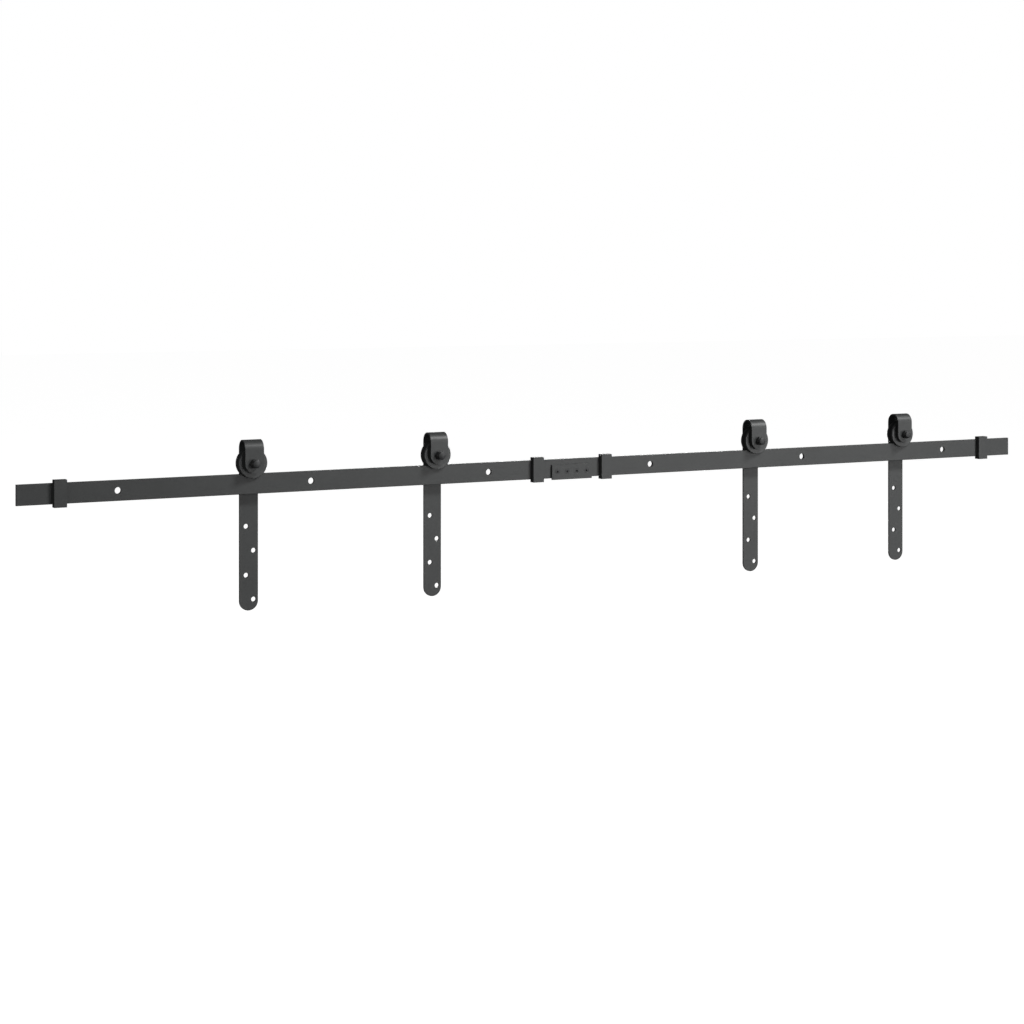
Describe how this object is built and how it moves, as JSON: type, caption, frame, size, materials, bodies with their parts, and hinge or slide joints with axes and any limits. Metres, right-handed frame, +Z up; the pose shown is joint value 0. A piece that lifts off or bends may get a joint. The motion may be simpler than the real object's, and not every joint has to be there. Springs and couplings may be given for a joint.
{
  "type": "sliding barn door hardware",
  "caption": "Flat-bar sliding door track with joined bars, stop blocks and J-shaped strap hangers on flanged ball-bearing wheels, in black powder coat.",
  "frame": {"origin": "on the bars' wall-side face, at the joint between the two bars and at half their height", "axes": "+X along the track, +Y from the wall into the room, +Z up"},
  "size_m": [1.828, 0.0473, 0.2629],
  "materials": {
    "powder_coat": "matt black powder coat on flat steel bar, fine even texture",
    "wheel_black": "satin black coated turned steel",
    "black_oxide": "black oxide on turned and forged steel fasteners",
    "bearing_steel": "ground and polished bearing steel",
    "cage_steel": "pressed steel, bright"
  },
  "bodies": {
    "track": {"rail_left": "powder_coat", "rail_right": "powder_coat", "connector_plate": "powder_coat", "connector_screws": "black_oxide", "stop_block_1": "powder_coat", "stop_screw_1": "black_oxide", "stop_block_2": "powder_coat", "stop_screw_2": "black_oxide", "stop_block_3": "powder_coat", "stop_screw_3": "black_oxide", "stop_block_4": "powder_coat", "stop_screw_4": "black_oxide"},
    "hanger_1": {"hanger_strap_1": "powder_coat", "bearing_inner_ring_1": "bearing_steel", "spacers_1": "black_oxide", "washers_1": "black_oxide", "axle_bolt_1": "black_oxide", "cap_nut_1": "black_oxide"},
    "wheel_1": {"wheel_1": "wheel_black", "bearing_outer_ring_1": "bearing_steel", "bearing_shields_1": "cage_steel"},
    "ball_cage_1": {"bearing_balls_1": "bearing_steel", "bearing_cage_1": "cage_steel"},
    "hanger_2": {"hanger_strap_2": "powder_coat", "bearing_inner_ring_2": "bearing_steel", "spacers_2": "black_oxide", "washers_2": "black_oxide", "axle_bolt_2": "black_oxide", "cap_nut_2": "black_oxide"},
    "wheel_2": {"wheel_2": "wheel_black", "bearing_outer_ring_2": "bearing_steel", "bearing_shields_2": "cage_steel"},
    "ball_cage_2": {"bearing_balls_2": "bearing_steel", "bearing_cage_2": "cage_steel"},
    "hanger_3": {"hanger_strap_3": "powder_coat", "bearing_inner_ring_3": "bearing_steel", "spacers_3": "black_oxide", "washers_3": "black_oxide", "axle_bolt_3": "black_oxide", "cap_nut_3": "black_oxide"},
    "wheel_3": {"wheel_3": "wheel_black", "bearing_outer_ring_3": "bearing_steel", "bearing_shields_3": "cage_steel"},
    "ball_cage_3": {"bearing_balls_3": "bearing_steel", "bearing_cage_3": "cage_steel"},
    "hanger_4": {"hanger_strap_4": "powder_coat", "bearing_inner_ring_4": "bearing_steel", "spacers_4": "black_oxide", "washers_4": "black_oxide", "axle_bolt_4": "black_oxide", "cap_nut_4": "black_oxide"},
    "wheel_4": {"wheel_4": "wheel_black", "bearing_outer_ring_4": "bearing_steel", "bearing_shields_4": "cage_steel"},
    "ball_cage_4": {"bearing_balls_4": "bearing_steel", "bearing_cage_4": "cage_steel"}
  },
  "joints": [
    {"name": "hanger_1_travel", "type": "slide", "parent": "track", "child": "hanger_1", "axis": [1, 0, 0], "range_m": [-0.267, 0.1315]},
    {"name": "wheel_1_spin", "type": "hinge", "parent": "hanger_1", "child": "wheel_1", "pos_m": [-0.55375, 0.0025, 0.0317], "axis": [0, 1, 0], "continuous": true},
    {"name": "ball_cage_1_orbit", "type": "hinge", "parent": "hanger_1", "child": "ball_cage_1", "pos_m": [-0.55375, 0.0025, 0.0317], "axis": [0, 1, 0], "continuous": true},
    {"name": "hanger_2_travel", "type": "slide", "parent": "track", "child": "hanger_2", "axis": [1, 0, 0], "range_m": [-0.1315, 0.151]},
    {"name": "wheel_2_spin", "type": "hinge", "parent": "hanger_2", "child": "wheel_2", "pos_m": [-0.24425, 0.0025, 0.0317], "axis": [0, 1, 0], "continuous": true},
    {"name": "ball_cage_2_orbit", "type": "hinge", "parent": "hanger_2", "child": "ball_cage_2", "pos_m": [-0.24425, 0.0025, 0.0317], "axis": [0, 1, 0], "continuous": true},
    {"name": "hanger_3_travel", "type": "slide", "parent": "track", "child": "hanger_3", "axis": [1, 0, 0], "range_m": [-0.267, 0.1315]},
    {"name": "wheel_3_spin", "type": "hinge", "parent": "hanger_3", "child": "wheel_3", "pos_m": [0.36025, 0.0025, 0.0317], "axis": [0, 1, 0], "continuous": true},
    {"name": "ball_cage_3_orbit", "type": "hinge", "parent": "hanger_3", "child": "ball_cage_3", "pos_m": [0.36025, 0.0025, 0.0317], "axis": [0, 1, 0], "continuous": true},
    {"name": "hanger_4_travel", "type": "slide", "parent": "track", "child": "hanger_4", "axis": [1, 0, 0], "range_m": [-0.1315, 0.151]},
    {"name": "wheel_4_spin", "type": "hinge", "parent": "hanger_4", "child": "wheel_4", "pos_m": [0.66975, 0.0025, 0.0317], "axis": [0, 1, 0], "continuous": true},
    {"name": "ball_cage_4_orbit", "type": "hinge", "parent": "hanger_4", "child": "ball_cage_4", "pos_m": [0.66975, 0.0025, 0.0317], "axis": [0, 1, 0], "continuous": true}
  ],
  "couplings": [
    {"joint": "wheel_1_spin", "follows": "hanger_1_travel", "rad_per_m": 62.5},
    {"joint": "ball_cage_1_orbit", "follows": "hanger_1_travel", "rad_per_m": 39.289},
    {"joint": "wheel_2_spin", "follows": "hanger_2_travel", "rad_per_m": 62.5},
    {"joint": "ball_cage_2_orbit", "follows": "hanger_2_travel", "rad_per_m": 39.289},
    {"joint": "wheel_3_spin", "follows": "hanger_3_travel", "rad_per_m": 62.5},
    {"joint": "ball_cage_3_orbit", "follows": "hanger_3_travel", "rad_per_m": 39.289},
    {"joint": "wheel_4_spin", "follows": "hanger_4_travel", "rad_per_m": 62.5},
    {"joint": "ball_cage_4_orbit", "follows": "hanger_4_travel", "rad_per_m": 39.289}
  ]
}
